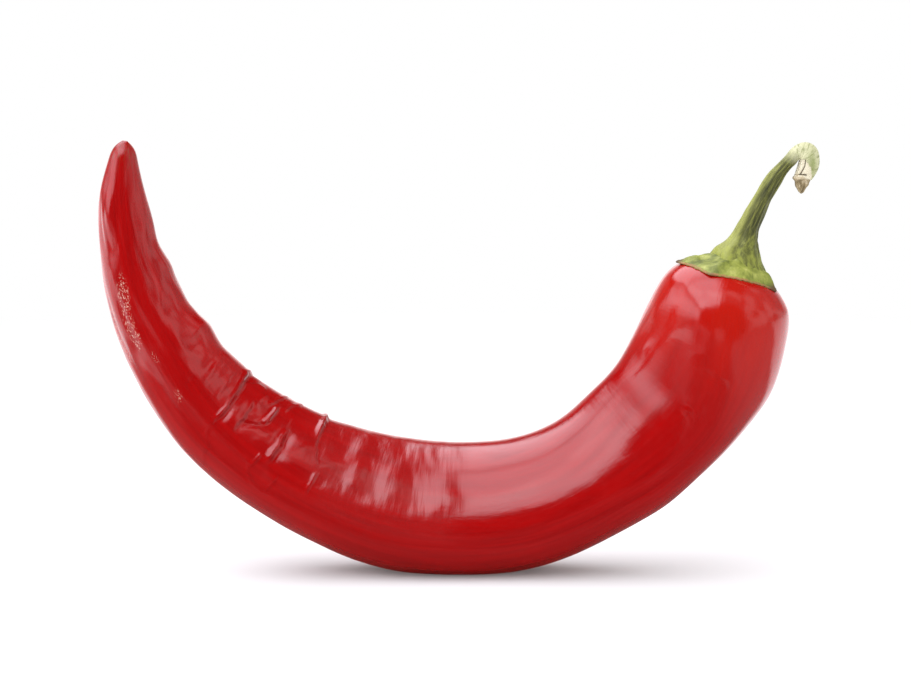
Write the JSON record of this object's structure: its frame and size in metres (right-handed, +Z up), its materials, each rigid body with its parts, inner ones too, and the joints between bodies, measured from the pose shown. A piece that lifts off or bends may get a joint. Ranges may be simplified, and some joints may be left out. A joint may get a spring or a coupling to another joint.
{
  "type": "chilli pepper",
  "caption": "Long red chilli pepper bent into a wide bow, with a green calyx and a hooked stem, standing on the belly of its bend.",
  "frame": {"origin": "on the surface that the pepper stands on, below the middle of its box", "axes": "+X from the fruit's tip to its stem, +Y to the back, +Z up"},
  "size_m": [0.1146, 0.023, 0.0693],
  "materials": {
    "red_skin": "smooth waxy skin with a strong gloss",
    "green_cap": "leathery and dull, with a thin brown edge",
    "green_stem": "ribbed along its length, slightly waxy",
    "dry_wood": "dry, dull and fibrous"
  },
  "bodies": {
    "root": {"fruit": "red_skin", "calyx": "green_cap", "stem": "green_stem", "stub": "dry_wood"}
  },
  "joints": []
}
